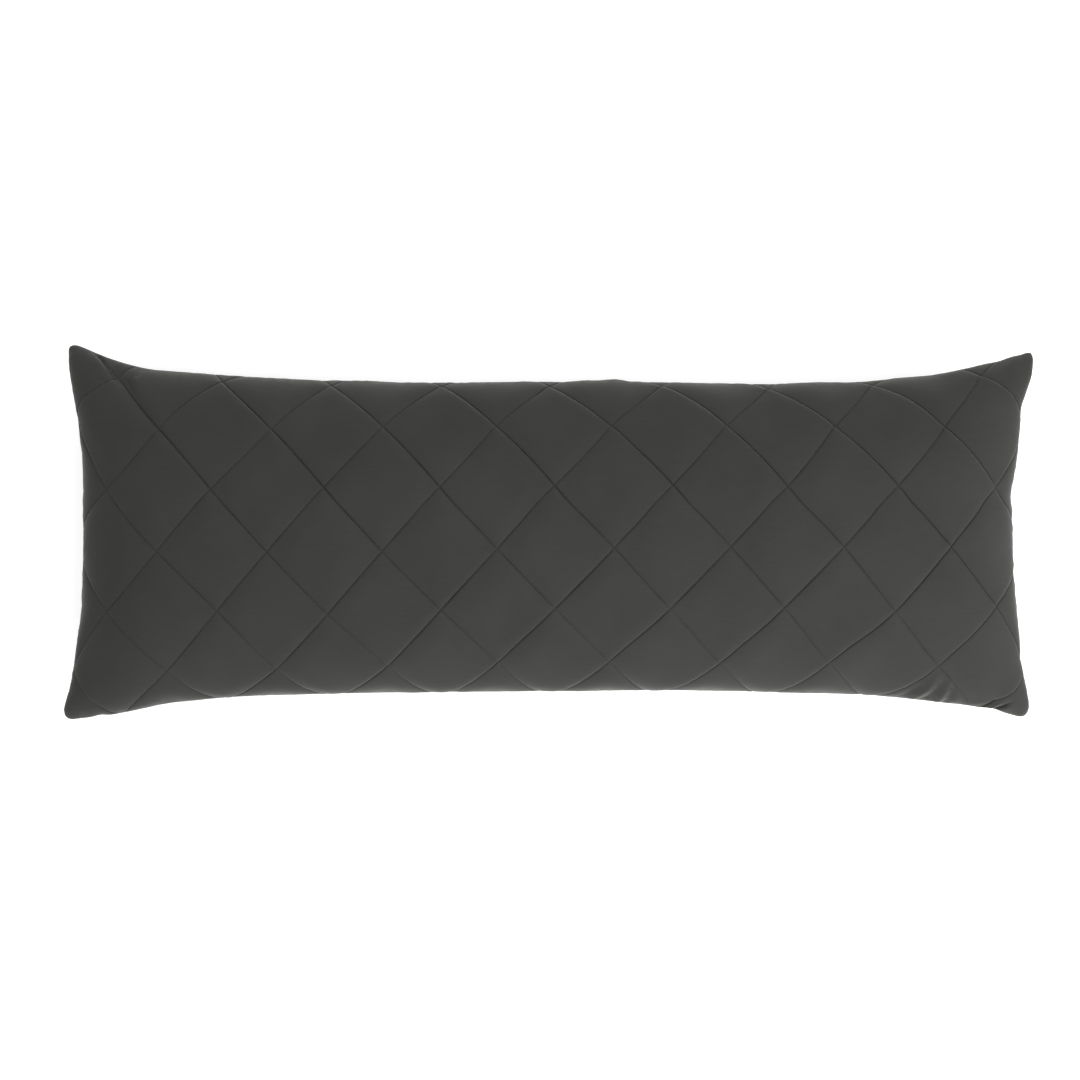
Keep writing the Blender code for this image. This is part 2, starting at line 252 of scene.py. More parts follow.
def edge_place(edge, share):
    """How far out an edge is at a share of its length, on a smooth curve through its stations."""
    station, out = edge.T
    slope = np.gradient(out, station)
    place = between(station[0], station[-1], share)
    left = np.clip(np.searchsorted(station, place) - 1, 0, len(station) - 2)
    right = left + 1
    gap = station[right] - station[left]
    t = (place - station[left]) / gap
    curve = out[left] * (1 + 2 * t) * (1 - t) ** 2 + out[right] * (3 - 2 * t) * t**2
    return curve + gap * t * (1 - t) * (slope[left] * (1 - t) - slope[right] * t)


def between(low, high, share):
    """The place at a share of the way from low, at -1, to high, at 1."""
    return (low * (1 - share) + high * (1 + share)) / 2


def to_seam(cut_x, cut_y):
    """How far points of the flat panel are from its nearest edge."""
    return np.minimum(CUT_LENGTH / 2 - np.abs(cut_x), CUT_WIDTH / 2 - np.abs(cut_y))


def inset(cut_x, cut_y, reach):
    """0 at the seam, rising to 1 this far in from it."""
    return limited(to_seam(cut_x, cut_y) / reach)


def from_end(cut_x):
    """0 at both ends of a panel, rising to 1 where its cloth no longer lies flatter."""
    return limited((CUT_LENGTH / 2 - np.abs(cut_x)) / END_FADE)


def cubic_weight(away):
    """How much a lattice point counts this many steps away from it: 1 at it, 0 at every other."""
    away = np.minimum(np.abs(away), 2)
    near = 1 - 2.5 * away**2 + 1.5 * away**3
    far = 2 - 4 * away + 2.5 * away**2 - 0.5 * away**3
    return np.where(away < 1, near, far)


def slipped(cut_x, cut_y):
    """The places on an even panel that the points of the slipped cloth have come to."""
    along, across = (cut_x - CROSSING_X) / DIAMOND_LENGTH, (cut_y - CROSSING_Y) / DIAMOND_WIDTH
    fade = inset(cut_x, cut_y, SLIP_FADE)
    for row, slips in enumerate(SLIPS):
        away_y = across - 1 + row / 2
        for column, (slip_x, slip_y) in enumerate(slips):
            away_x = along + 4 - column - row % 2 / 2
            share = fade
            for away in (away_x + away_y, away_x - away_y):
                share = share * cubic_weight(away)
            cut_x = cut_x + share * slip_x * MM
            cut_y = cut_y + share * slip_y * MM
    return cut_x, cut_y


def corner_offset(cut_x, cut_y):
    """How far a point near a corner moves when the square corner is drawn into a round one."""
    u = limited((np.abs(cut_x) - CUT_LENGTH / 2) / CORNER_ROUND + 1)
    v = limited((np.abs(cut_y) - CUT_WIDTH / 2) / CORNER_ROUND + 1)
    inward_x = CORNER_ROUND * u * (1 - np.sqrt(1 - v**2 / 2))
    inward_y = CORNER_ROUND * v * (1 - np.sqrt(1 - u**2 / 2))
    return -np.sign(cut_x) * inward_x, -np.sign(cut_y) * inward_y


def turned_up(cut, rest_size, cut_size):
    """0 where the lower panel lies flat, rising to 1 at the seam."""
    return limited((2 * np.abs(cut) - rest_size) / (cut_size - rest_size))


def smooth_fill(cut_x, cut_y, panel):
    """Where points of a panel lie on the filled pillow, before the quilting draws them in."""
    if panel > 0:
        cut_x, cut_y = slipped(cut_x, cut_y)
    s, t = cut_x / (CUT_LENGTH / 2), cut_y / (CUT_WIDTH / 2)
    half_length = (edge_place(RIGHT_EDGE, 0) - edge_place(LEFT_EDGE, 0)) / 2
    half_width = (edge_place(BACK_EDGE, 0) - edge_place(FRONT_EDGE, 0)) / 2
    along = s + (along_cloth(s, half_length, END_TUCK, END_POWER, END_STEEPNESS) - s) * (1 - t**2)
    bulging = 1 - np.abs(s) ** END_POWER
    settled = along_cloth(t, half_width, SIDE_TUCK, SIDE_POWER, SIDE_STEEPNESS)
    across = t + (settled - t) * bulging

    offset_x, offset_y = corner_offset(cut_x, cut_y)
    drawn = QUILT_LEAN * across * (1 - s**2)
    drawn += CROWN_SPREAD * (s - SPREAD_MIDDLE) * (1 - 2 * t**2) * bulging
    x = between(edge_place(LEFT_EDGE, across), edge_place(RIGHT_EDGE, across), along)
    y = between(edge_place(FRONT_EDGE, along), edge_place(BACK_EDGE, along), across)

    seam = SEAM_HEIGHT - EAR_DROOP * (np.abs(along) * np.abs(across)) ** EAR_POWER
    if panel > 0:
        crown = CROWN
        for swell in SWELLS:
            away = np.hypot(cut_x - swell.x, cut_y - swell.y) / swell.reach
            crown = crown + swell.rise * np.exp(-(away**2))
        full_length = profile(along, END_POWER, END_STEEPNESS)
        full_width = profile(across, SIDE_POWER, SIDE_STEEPNESS)
        height = seam + crown * full_length * full_width
    else:
        turned_x = turned_up(cut_x, REST_LENGTH, CUT_LENGTH)
        turned_y = turned_up(cut_y, REST_WIDTH, CUT_WIDTH)
        full_length = profile(turned_x, REST_POWER, REST_STEEPNESS)
        full_width = profile(turned_y, REST_POWER, REST_STEEPNESS)
        height = seam * (1 - full_length * full_width)
    x = x + offset_x + drawn - END_TUCK * np.sign(s) * tucked(full_length) * (1 - across**2)
    y = y + offset_y - SIDE_TUCK * np.sign(t) * tucked(full_width) * bulging
    return np.stack([x, y, height])


def slopes(cut_x, cut_y, panel):
    """How a panel runs along and across at points of it, for each metre of cloth."""
    step = 1 * MM
    half_length, half_width = CUT_LENGTH / 2 - step, CUT_WIDTH / 2 - step
    x, y = np.clip(cut_x, -half_length, half_length), np.clip(cut_y, -half_width, half_width)
    along = smooth_fill(x + step, y, panel) - smooth_fill(x - step, y, panel)
    across = smooth_fill(x, y + step, panel) - smooth_fill(x, y - step, panel)
    return along / (2 * step), across / (2 * step)


def inward(cut_x, cut_y, panel):
    """The direction into the pillow at points of a panel."""
    along, across = slopes(cut_x, cut_y, panel)
    normal = -panel * np.cross(along, across, axis=0)
    return normal / np.linalg.norm(normal, axis=0)


def pulled_aside(cut_x, cut_y):
    """How far the back left corner's gathers pull the stitch lines towards the end."""
    near = np.exp(-(((cut_x - GATHERS_X) / GATHERS_REACH) ** 2))
    return GATHERS_PULL * near * limited((cut_y - GATHERS_START) / GATHERS_WIDTH) ** GATHERS_POWER


def past_line(cut_x, cut_y, lean):
    """How far past the nearest stitch line of one lean, as a share of the lines' spacing."""
    along = (cut_x + pulled_aside(cut_x, cut_y) - CROSSING_X) / DIAMOND_LENGTH
    count = along + lean * (cut_y - CROSSING_Y) / DIAMOND_WIDTH
    return count - np.round(count)


def from_line(cut_x, cut_y, lean):
    """Distance from the nearest stitch line of one lean, as a share of the lines' spacing."""
    return np.abs(past_line(cut_x, cut_y, lean))


def groove(cut_x, cut_y, lean, reach):
    """1 on a stitch line of one lean, falling to 0 within a few reaches of it."""
    return np.exp(-from_line(cut_x, cut_y, lean) * LINE_SPACING / reach)


def falling(cut_x, cut_y, lean):
    """1 where the cloth falls away to a stitch line's right, and -1 where it falls to its left.

    In front, towards the left end, the cloth lies more level, so there the two leans are alike.
    """
    along = 2 * cut_x / CUT_LENGTH
    left = limited(-along)
    level = np.where(cut_y < 0, limited(1 - 2 * left**2), 1)
    across = cut_y / FALL_WIDTH * level + LEFT_FALL * left
    return np.clip(END_FALL * along**END_FALL_POWER + lean * across, -1, 1)


def ridge(cut_x, cut_y, reach):
    """The swelling along the left of a stitch line, where the cloth falls to the right of it."""
    total = 0
    for lean in (1, -1):
        past = past_line(cut_x, cut_y, lean)
        away = limited(-past) * LINE_SPACING / reach
        total = total + limited(falling(cut_x, cut_y, lean)) * away * np.exp(1 - away)
    return total * inset(cut_x, cut_y, SEAM_FADE)


def puff(cut_x, cut_y):
    """0 on a stitch line, rising to 1 on the loose cloth between them."""
    rise = 1
    for lean in (1, -1):
        away = from_line(cut_x, cut_y, lean)
        rise = rise * (1 - limited(1 - away / CHANNEL_REACH) ** 2)
    return rise


def crease_depth(creases, cut_x, cut_y, panel):
    """How far creases draw the cloth in."""
    depth = 0
    for crease in creases:
        if crease.panel == panel:
            run_x, run_y = crease.end_x - crease.start_x, crease.end_y - crease.start_y
            share = (cut_x - crease.start_x) * run_x + (cut_y - crease.start_y) * run_y
            share = limited(share / (run_x**2 + run_y**2))
            away_x = cut_x - crease.start_x - share * run_x
            away_y = cut_y - crease.start_y - share * run_y
            away = np.hypot(away_x, away_y) / crease.reach
            depth = depth + crease.depth * np.exp(-(away**2)) * (1 - share**2)
    return depth


def quilted(cut_x, cut_y, panel):
    """Where points of a panel lie once the quilting and the corner creases draw them in."""
    fade = inset(cut_x, cut_y, SEAM_FADE)
    depth = CHANNEL_DEPTH * (1 - puff(cut_x, cut_y)) * from_end(cut_x)
    depth = depth + crease_depth(CREASES, cut_x, cut_y, panel)
    points = smooth_fill(cut_x, cut_y, panel)
    return points + depth * fade * (2 - fade) * inward(cut_x, cut_y, panel)


def ripple(cut_x, cut_y, wavelength, seed):
    """Uneven waves of about one length over the flat cloth, mostly between -1 and 1."""
    random = np.random.default_rng(seed)
    total = 0
    for _ in range(RIPPLES):
        angle, phase = random.uniform(0, 2 * np.pi, 2)
        turns = 2 * np.pi / (wavelength * random.uniform(*RIPPLE_LENGTHS))
        total = total + np.sin(turns * (cut_x * np.cos(angle) + cut_y * np.sin(angle)) + phase)
    return total / np.sqrt(RIPPLES)


# --- Settling: the cloth gives way to the filling between its stitch lines ---

SETTLE_STEPS = 8  # grid steps from one crossing of stitch lines to the next
SETTLE_FRAMES = 20
SETTLE_FADE = 10 * MM  # stretch beside the seam where the settling runs out
RESTING = 2 * MM  # the lower panel is held where it starts below this height
ON_LINE = 0.01  # share of the lines' spacing within which a grid point is on a stitch line


def settle_lines(cut_size, step, offset):
    """Grid lines over a panel on the quilting's steps, and on both seams."""
    room = cut_size / 2 - step / 3
    count = np.arange(np.ceil((-room - offset) / step), np.floor((room - offset) / step) + 1)
    return np.array([-cut_size / 2, *(offset + step * count), cut_size / 2])


def spline_weight(away):
    """The share that a grid value has at a distance of some steps: a cubic B-spline."""
    away = np.abs(away)
    near = (4 - 6 * away**2 + 3 * away**3) / 6
    far = limited(2 - away) ** 3 / 6
    return np.where(away < 1, near, far)


class Settling:
    """How far the cloth of each panel has moved, on a grid over the flat panel."""

    def __init__(self):
        self.lines_x = settle_lines(CUT_LENGTH, DIAMOND_LENGTH / 2 / SETTLE_STEPS, CROSSING_X)
        self.lines_y = settle_lines(CUT_WIDTH, DIAMOND_WIDTH / 2 / SETTLE_STEPS, CROSSING_Y)
        shape = (len(self.lines_y), len(self.lines_x), 3)
        self.moved = {+1: np.zeros(shape), -1: np.zeros(shape)}

    def simulate(self, settings):
        """Blows the cloth out between its stitches, with every stitch and the seam held."""
        cloth, keys = self.make_cloth()
        start = np.array([vert.co for vert in cloth.data.vertices])
        held = cloth.vertex_groups.new(name="held")
        for index, (panel, row, column) in enumerate(keys):
            x, y = self.lines_x[column], self.lines_y[row]
            on_line = min(from_line(x, y, 1), from_line(x, y, -1)) < ON_LINE
            on_floor = panel < 0 and start[index][2] < RESTING
            if on_line or on_floor or to_seam(x, y) < 1 * MM:
                held.add([index], 1.0, "REPLACE")
        modifier = cloth.modifiers.new("settle", "CLOTH")
        feel = modifier.settings
        feel.quality = 5
        feel.mass = 0.3
        feel.tension_stiffness = 20
        feel.compression_stiffness = 8
        feel.shear_stiffness = 5
        feel.bending_stiffness = 1.5
        feel.shrink_min = -settings.slack
        feel.use_pressure = True
        feel.uniform_pressure_force = settings.pressure
        feel.vertex_group_mass = "held"
        feel.effector_weights.gravity = 0
        modifier.collision_settings.use_collision = False
        for count in range(1, SETTLE_FRAMES + 1):
            bpy.context.scene.frame_set(count)
        shown = cloth.evaluated_get(bpy.context.evaluated_depsgraph_get())
        end = np.array([vert.co for vert in shown.data.vertices])
        bpy.data.objects.remove(cloth)
        bpy.context.scene.frame_set(1)
        if not np.isfinite(end).all():
            raise RuntimeError("The cloth didn't settle")
        move = end - start
        length = np.linalg.norm(move, axis=1, keepdims=True)
        move *= np.minimum(1, settings.settle_cap / np.maximum(length, 0.01 * MM))
        for (panel, row, column), step in zip(keys, move):
            self.moved[panel][row, column] = step

    def make_cloth(self):
        """A coarse closed cover to settle, and for each of its points its panel, row and column."""
        mesh = bmesh.new()
        layer = mesh.verts.layers.int.new("key")
        rows, columns = len(self.lines_y), len(self.lines_x)
        for side, panel in enumerate((+1, -1)):
            grid = bmesh.ops.create_grid(mesh, x_segments=columns - 1, y_segments=rows - 1, size=1)
            column = [round((vert.co.x + 1) / 2 * (columns - 1)) for vert in grid["verts"]]
            row = [round((vert.co.y + 1) / 2 * (rows - 1)) for vert in grid["verts"]]
            places = quilted(self.lines_x[column], self.lines_y[row], panel).T
            for vert, place, r, c in zip(grid["verts"], places, row, column):
                vert.co = place
                vert[layer] = (side * rows + r) * columns + c
        bmesh.ops.remove_doubles(mesh, verts=mesh.verts, dist=0.05 * MM)
        bmesh.ops.recalc_face_normals(mesh, faces=mesh.faces)
        keys = []
        for vert in mesh.verts:
            line, column = divmod(vert[layer], columns)
            side, row = divmod(line, rows)
            keys.append((-1 if side else +1, row, column))
        data = bpy.data.meshes.new("settling cloth")
        mesh.to_mesh(data)
        mesh.free()
        cloth = bpy.data.objects.new("settling cloth", data)
        bpy.context.collection.objects.link(cloth)
        return cloth, keys

    def at(self, cut_x, cut_y, panel):
        """How far the cloth has moved at any place on a panel."""
        moved = self.moved[panel]
        column = np.interp(cut_x, self.lines_x, np.arange(len(self.lines_x)))
        row = np.interp(cut_y, self.lines_y, np.arange(len(self.lines_y)))
        total = 0
        for row_step in (-1, 0, 1, 2):
            near_row = np.floor(row).astype(int) + row_step
            row_share = spline_weight(row - near_row)
            near_row = np.clip(near_row, 0, moved.shape[0] - 1)
            for column_step in (-1, 0, 1, 2):
                near_column = np.floor(column).astype(int) + column_step
                share = row_share * spline_weight(column - near_column)
                near_column = np.clip(near_column, 0, moved.shape[1] - 1)
                total = total + share * moved[near_row, near_column].T
        return total * inset(cut_x, cut_y, SETTLE_FADE)


TENSION_WAVE = 40 * MM  # from one tight stretch of the stitch lines to the next
TENSION_CHANGE = 0.2  # share by which the thread's pull varies
FILLING_WAVE = 120 * MM  # from one lump of the filling to the next
PUCKER_WAVE = 16 * MM  # from one small gather beside the seam to the next
PUCKER_REACH = 9 * MM  # how far those gathers reach in from the seam
SEAM_CALM = 5 * MM  # stretch beside the seam where the surface runs smoothly into it
END_SHARE = 0.4  # share of the grooves' depth that is left at each end
OUTLINE_POINTS = 2001  # points along each edge that show how far the outline reaches


def sewn_surface(cut_x, cut_y, panel, settling, settings):
    """Where points of a panel lie on the finished cover."""
    points = quilted(cut_x, cut_y, panel) + settling.at(cut_x, cut_y, panel)
    tension = 1 + TENSION_CHANGE * ripple(cut_x, cut_y, TENSION_WAVE, seed=3)
    loose = 1
    for lean in (1, -1):
        loose = loose * (1 - groove(cut_x, cut_y, lean, settings.groove_reach))
    depth = settings.groove_depth * tension * (1 - loose)
    depth = depth - settings.ridge_height * tension * ridge(cut_x, cut_y, settings.ridge_reach)
    depth = depth * (END_SHARE + (1 - END_SHARE) * from_end(cut_x))
    depth = depth + crease_depth(WRINKLES, cut_x, cut_y, panel)
    uneven = settings.unevenness * ripple(cut_x, cut_y, FILLING_WAVE, seed=5)
    depth = depth - uneven * puff(cut_x, cut_y)
    pucker = settings.pucker_depth * ripple(cut_x, cut_y, PUCKER_WAVE, seed=8 + panel)
    depth = depth + pucker * np.exp(-to_seam(cut_x, cut_y) / PUCKER_REACH)
    points = points + depth * inset(cut_x, cut_y, SEAM_CALM) * inward(cut_x, cut_y, panel)
    points[2] = np.maximum(points[2], 0)
    return points


def centring():
    """How far the pillow is shifted, so that it lies where its solid does."""
    low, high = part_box(NODE)
    edge = np.linspace(-1, 1, OUTLINE_POINTS)
    ends = np.ones_like(edge)
    cut_x = np.concatenate([edge, edge, ends, -ends]) * CUT_LENGTH / 2
    cut_y = np.concatenate([ends, -ends, edge, edge]) * CUT_WIDTH / 2
    places = smooth_fill(cut_x, cut_y, +1)
    middle = (places.min(axis=1) + places.max(axis=1)) / 2
    return np.array([(low.x + high.x) / 2 - middle[0], (low.y + high.y) / 2 - middle[1], 0])


# --- Materials ---

# The pile's pattern, in repeats for each metre, and how high the pile and the thread's plies stand.
CLOUDS = 9.0
STREAKS = (40.0, 260.0, 1.0)
FIBRES = (1600.0, 700.0, 1.0)
FIBRE_HEIGHT = 0.12 * MM
STREAK_HEIGHT = 0.08 * MM
PLY_HEIGHT = 0.05 * MM


class Varying:
    """A number that varies over a surface, for use in plain arithmetic."""

    def __init__(self, finish, socket):
        self.finish = finish
        self.socket = socket

    def math(self, operation, *values):
        settings = {"operation": operation}
        node = self.finish.node("ShaderNodeMath", settings, dict(enumerate(values)))
        return Varying(self.finish, node.outputs[0])

    def __add__(self, other):
        return self.math("ADD", self, other)

    def __sub__(self, other):
        return self.math("SUBTRACT", self, other)

    def __rsub__(self, other):
        return self.math("SUBTRACT", other, self)

    def __mul__(self, other):
        return self.math("MULTIPLY", self, other)

    __radd__ = __add__
    __rmul__ = __mul__


class Finish:
    """A material under construction: its nodes, and the few that each finish needs."""

    def __init__(self, name):
        self.material = bpy.data.materials.new(name)
        self.material.use_nodes = True
        self.nodes = self.material.node_tree.nodes
        self.links = self.material.node_tree.links
        self.shader = self.nodes["Principled BSDF"]

    def node(self, kind, settings, inputs):
        """Adds a node, sets it up, and then gives it its values and links."""
        node = self.nodes.new(kind)
        for name, value in settings.items():
            setattr(node, name, value)
        self.feed(node, inputs)
        return node

    def feed(self, node, inputs):
        """Gives a node's sockets their values or links."""
        for name, value in inputs.items():
            if isinstance(value, Varying):
                value = value.socket
            if isinstance(value, bpy.types.NodeSocket):
                self.links.new(value, node.inputs[name])
            else:
                node.inputs[name].default_value = value

    def attribute(self, name):
        """A vector that the mesh carries at each point."""
        node = self.node("ShaderNodeAttribute", {"attribute_name": name}, {})
        return node.outputs["Vector"]

    def parts(self, vector):
        """The three numbers of a vector."""
        node = self.node("ShaderNodeSeparateXYZ", {}, {0: vector})
        return [Varying(self, output) for output in node.outputs]

    def noise(self, vector, scale=1.0, detail=2.0):
        """Cloudy noise, from 0 to 1."""
        inputs = {"Vector": vector, "Scale": scale, "Detail": detail}
        node = self.node("ShaderNodeTexNoise", {}, inputs)
        return Varying(self, node.outputs[0])

    def stretched(self, vector, scale):
        """A vector scaled by a different amount each way."""
        inputs = {"Vector": vector, "Scale": scale}
        return self.node("ShaderNodeMapping", {}, inputs).outputs[0]

    def mix(self, share, first, second):
        """A colour between two: a Mix node's colours are sockets 6 and 7, and its result is 2."""
        sockets = {0: share, 6: first, 7: second}
        return self.node("ShaderNodeMix", {"data_type": "RGBA"}, sockets).outputs[2]

    def bump(self, height):
        """The normal of a surface with this height, in metres."""
        inputs = {"Height": height, "Distance": 1.0, "Strength": 1.0}
        return self.node("ShaderNodeBump", {}, inputs).outputs[0]


def cloth_finish(settings):
    """Charcoal cloth with a short brushed pile, darker where the thread and the seam press it, and
    with painted shade along the stitch lines, in folds and beside the seam.
    """
    finish = Finish("charcoal brushed cloth")
    cut = finish.attribute("cut")
    # The share of pressed pile and painted shade that the mesh carries at each point.
    pressed_shaded_share = finish.parts(finish.attribute("pressed_and_shaded"))[0]
    clouds = finish.noise(cut, scale=CLOUDS, detail=3.0) - 0.5
    streaks = finish.noise(finish.stretched(cut, STREAKS), detail=3.0) - 0.5
    fibres = finish.noise(finish.stretched(cut, FIBRES))
    brushed = 0.5 + clouds * 0.9 + streaks * 0.5 + (fibres - 0.5) * 0.6
    normal = finish.bump(fibres * FIBRE_HEIGHT + streaks * STREAK_HEIGHT)
    finish.feed(finish.shader, {
        "Base Color": finish.mix(brushed, settings.pile_dark, settings.pile_light),
        "Roughness": 0.8 + (fibres - 0.5) * 0.2,
        "Normal": normal,
        "Specular IOR Level": 0.12,
        "Sheen Weight": settings.sheen,
        "Sheen Roughness": settings.sheen_roughness,
        "Sheen Tint": settings.sheen_tint,
    })
    # Painted shade as well as pressed pile: a dark matt finish without sheen is mixed in along the
    # stitch lines, in folds and beside the seam.
    pressed_shaded_finish = finish.node("ShaderNodeBsdfPrincipled", {}, {
        "Base Color": settings.pressed_shaded_pile,
        "Roughness": 0.9,
        "Normal": normal,
        "Specular IOR Level": 0.05,
    })
    shaders = {0: pressed_shaded_share, 1: finish.shader.outputs[0], 2: pressed_shaded_finish.outputs[0]}
    both = finish.node("ShaderNodeMixShader", {}, shaders)
    finish.feed(finish.nodes["Material Output"], {"Surface": both.outputs[0]})
    return finish.material


def thread_finish(settings):
    """Matching two-ply sewing thread: the plies wind round it as slanted stripes."""
    finish = Finish("charcoal sewing thread")
    along, side, up = finish.parts(finish.attribute("strand"))
    around = side.math("ARCTAN2", side, up)
    wave = along * float(2 * np.pi / settings.ply_turn) + around
    ply = wave.math("SINE", wave) * 0.5 + 0.5
    finish.feed(finish.shader, {
        "Base Color": finish.mix(ply, settings.thread_dark, settings.thread_light),
        "Roughness": 0.6 - ply * 0.1,
        "Normal": finish.bump(ply * PLY_HEIGHT),
        "Specular IOR Level": 0.3,
    })
    return finish.material


# --- The cover ---

HALF_CELL_STEPS = 13  # grid steps from a stitch line to the middle of the cloth between two
CELL_CROWDING = 4.2  # how strongly the steps are crowded beside the stitch line
SEAM_CUTS = (1.5 * MM, 4 * MM, 8 * MM, 14 * MM)  # extra grid lines beside the seam
CORNER_DETAIL = 70 * MM  # the grid is twice as fine this near to a corner
GRID_ROOM = 26 * MM  # the grid is made this much larger than the panel, and then cut to it
AT_SEAM = 0.2 * MM  # points this near to the seam are moved onto it
MERGED = 0.3 * MM  # and those that then lie this near to each other become one
WRINKLE_SHOWS = 0.25 * MM  # where a wrinkle is deeper than this, the grid's edges
WRINKLE_STEP = 2.5 * MM  # are made shorter than this


def diamond_lines(reach):
    """Grid lines across the quilting, counted in diamonds, crowded beside each stitch line."""
    steps = np.linspace(0, CELL_CROWDING, HALF_CELL_STEPS + 1)
    half = 0.5 * np.sinh(steps) / np.sinh(CELL_CROWDING)
    cell = np.concatenate([half[:-1], 1 - half[:0:-1]])
    first = int(np.floor(-reach))
    return np.concatenate([first + count + cell for count in range(2 * abs(first) + 1)])


def from_corner(vert):
    """How far a point of a flat panel is from the panel's nearest corner."""
    return np.hypot(*(HALF_CUT - np.abs(vert.co[:2])))


def wrinkled_edges(mesh):
    """The edges of a flat panel that are too long for the wrinkles they lie in."""
    edges = [edge for edge in mesh.edges if edge.calc_length() > WRINKLE_STEP]
    x, y = np.array([(edge.verts[0].co + edge.verts[1].co)[:2] for edge in edges]).T / 2
    wrinkled = np.abs(crease_depth(WRINKLES, x, y, +1)) > WRINKLE_SHOWS
    return [edge for edge, inside in zip(edges, wrinkled) if inside]


def cut_along_seam(mesh, offset):
    """Cuts a flat panel this far inside its seam. At the seam itself, what lies outside goes."""
    for axis, half in enumerate(HALF_CUT):
        for sign in (-1, 1):
            place, normal = [0, 0, 0], [0, 0, 0]
            place[axis] = sign * (half - offset)
            normal[axis] = sign
            bmesh.ops.bisect_plane(
                mesh,
                geom=mesh.verts[:] + mesh.edges[:] + mesh.faces[:],
                dist=0.1 * MM,
                plane_co=place,
                plane_no=normal,
                clear_outer=offset == 0,
            )


def clean_seam(mesh):
    """Moves the points beside a flat panel's seam onto it, and merges those that then meet."""
    rim = [vert for vert in mesh.verts if to_seam(vert.co.x, vert.co.y) < AT_SEAM]
    for vert in rim:
        for axis, half in enumerate(HALF_CUT):
            if abs(vert.co[axis]) > half - AT_SEAM:
                vert.co[axis] = np.sign(vert.co[axis]) * half
    bmesh.ops.remove_doubles(mesh, verts=rim, dist=MERGED)


def flat_panel():
    """One panel's grid, flat as cut: its points, and its faces as lists of points."""
    lines = diamond_lines(CUT_LENGTH / 2 / DIAMOND_LENGTH + CUT_WIDTH / 2 / DIAMOND_WIDTH + 0.5)
    mesh = bmesh.new()
    segments = len(lines) - 1
    bmesh.ops.create_grid(mesh, x_segments=segments, y_segments=segments, size=1)
    for vert in mesh.verts:
        u = lines[round((vert.co.x + 1) / 2 * segments)]
        v = lines[round((vert.co.y + 1) / 2 * segments)]
        vert.co.x = CROSSING_X + DIAMOND_LENGTH * (u + v) / 2
        vert.co.y = CROSSING_Y + DIAMOND_WIDTH * (u - v) / 2
    outside = [vert for vert in mesh.verts if to_seam(vert.co.x, vert.co.y) < -GRID_ROOM]
    bmesh.ops.delete(mesh, geom=outside, context="VERTS")
    near = [edge for edge in mesh.edges if max(map(from_corner, edge.verts)) < CORNER_DETAIL]
    bmesh.ops.subdivide_edges(mesh, edges=near, cuts=1, use_grid_fill=True)
    for _ in range(2):
        bmesh.ops.subdivide_edges(mesh, edges=wrinkled_edges(mesh), cuts=1, use_grid_fill=True)
    for offset in (0, *SEAM_CUTS):
        cut_along_seam(mesh, offset)
    bmesh.ops.triangulate(mesh, faces=[face for face in mesh.faces if len(face.verts) > 4])
    clean_seam(mesh)
    mesh.normal_update()
    if sum(face.normal.z * face.calc_area() for face in mesh.faces) < 0:
        bmesh.ops.reverse_faces(mesh, faces=mesh.faces[:])
    mesh.verts.index_update()
    points = np.array([vert.co[:2] for vert in mesh.verts])
    faces = [[vert.index for vert in face.verts] for face in mesh.faces]
    mesh.free()
    on_seam = np.abs(np.abs(points) - HALF_CUT) < AT_SEAM
    return np.where(on_seam, np.sign(points) * HALF_CUT, points), faces


FRONT_LEFT_WIDTH = 400 * MM  # how far over the panel, from the front left, the stitch lines' painted shade fades
FRONT_LEFT_FAINTNESS = 0.3  # share by which the stitch lines' painted shade is fainter there
FULLY_SHADED_FOLD = 3.5 * MM  # depth of a fold at which its painted shade is full
FOLD_SHADE = 0.6  # how dark that painted shade is then
RIM_REACH = 2 * MM  # how far the rim's painted shade reaches in from the seam beside the corners,
SIDE_RIM = 20 * MM  # how much further half way along the front and back,
END_RIM = 49 * MM  # and how much further half way along the ends, where it widens suddenly
END_RIM_POWER = 2.3


def line_shade(cut_x, cut_y, settings):
    """How dark the stitch lines are: pile pressed by the thread, with painted shade of the groove,
    fainter in front towards the left end.
    """
    # Painted shade: the lines' darkening fades in front towards the left end.
    slack = limited(-2 * cut_x / CUT_LENGTH - cut_y / FRONT_LEFT_WIDTH)
    shade = 0
    for lean in (1, -1):
        # Painted shade: a line is darker where the cloth falls away to its right, as shade from the
        # lamp at the right would fall there.
        share = (1 + settings.painted_lean_shade * falling(cut_x, cut_y, lean)) * (1 - FRONT_LEFT_FAINTNESS * slack)
        shade = np.maximum(shade, share * groove(cut_x, cut_y, lean, settings.shade_reach))
    return settings.line_shade * shade


def seam_shade(cut_x, cut_y, panel, settings):
    """How dark the pile is beside the seam, pressed there and with painted shade, and the painted
    shade where the upper panel turns under.
    """
    along, across = 2 * np.abs(cut_x) / CUT_LENGTH, 2 * np.abs(cut_y) / CUT_WIDTH
    side_reach = RIM_REACH + SIDE_RIM * (1 - along**2)
    end_reach = RIM_REACH + END_RIM * (1 - across**2) ** END_RIM_POWER
    shade = 0
    for share, size, reach in ((across, CUT_WIDTH, side_reach), (along, CUT_LENGTH, end_reach)):
        distance = size / 2 * (1 - share)
        # A thin dark line along the seam: pile pressed by the seam, with painted shade.
        beside = limited(1 - distance / settings.seam_shade_reach)
        shade = np.maximum(shade, settings.seam_shade * beside)
        if panel > 0:
            # Painted shade where the upper panel turns under towards the seam.
            below = limited(1 - distance / reach)
            shade = np.maximum(shade, settings.rim_shade * below)
    return shade


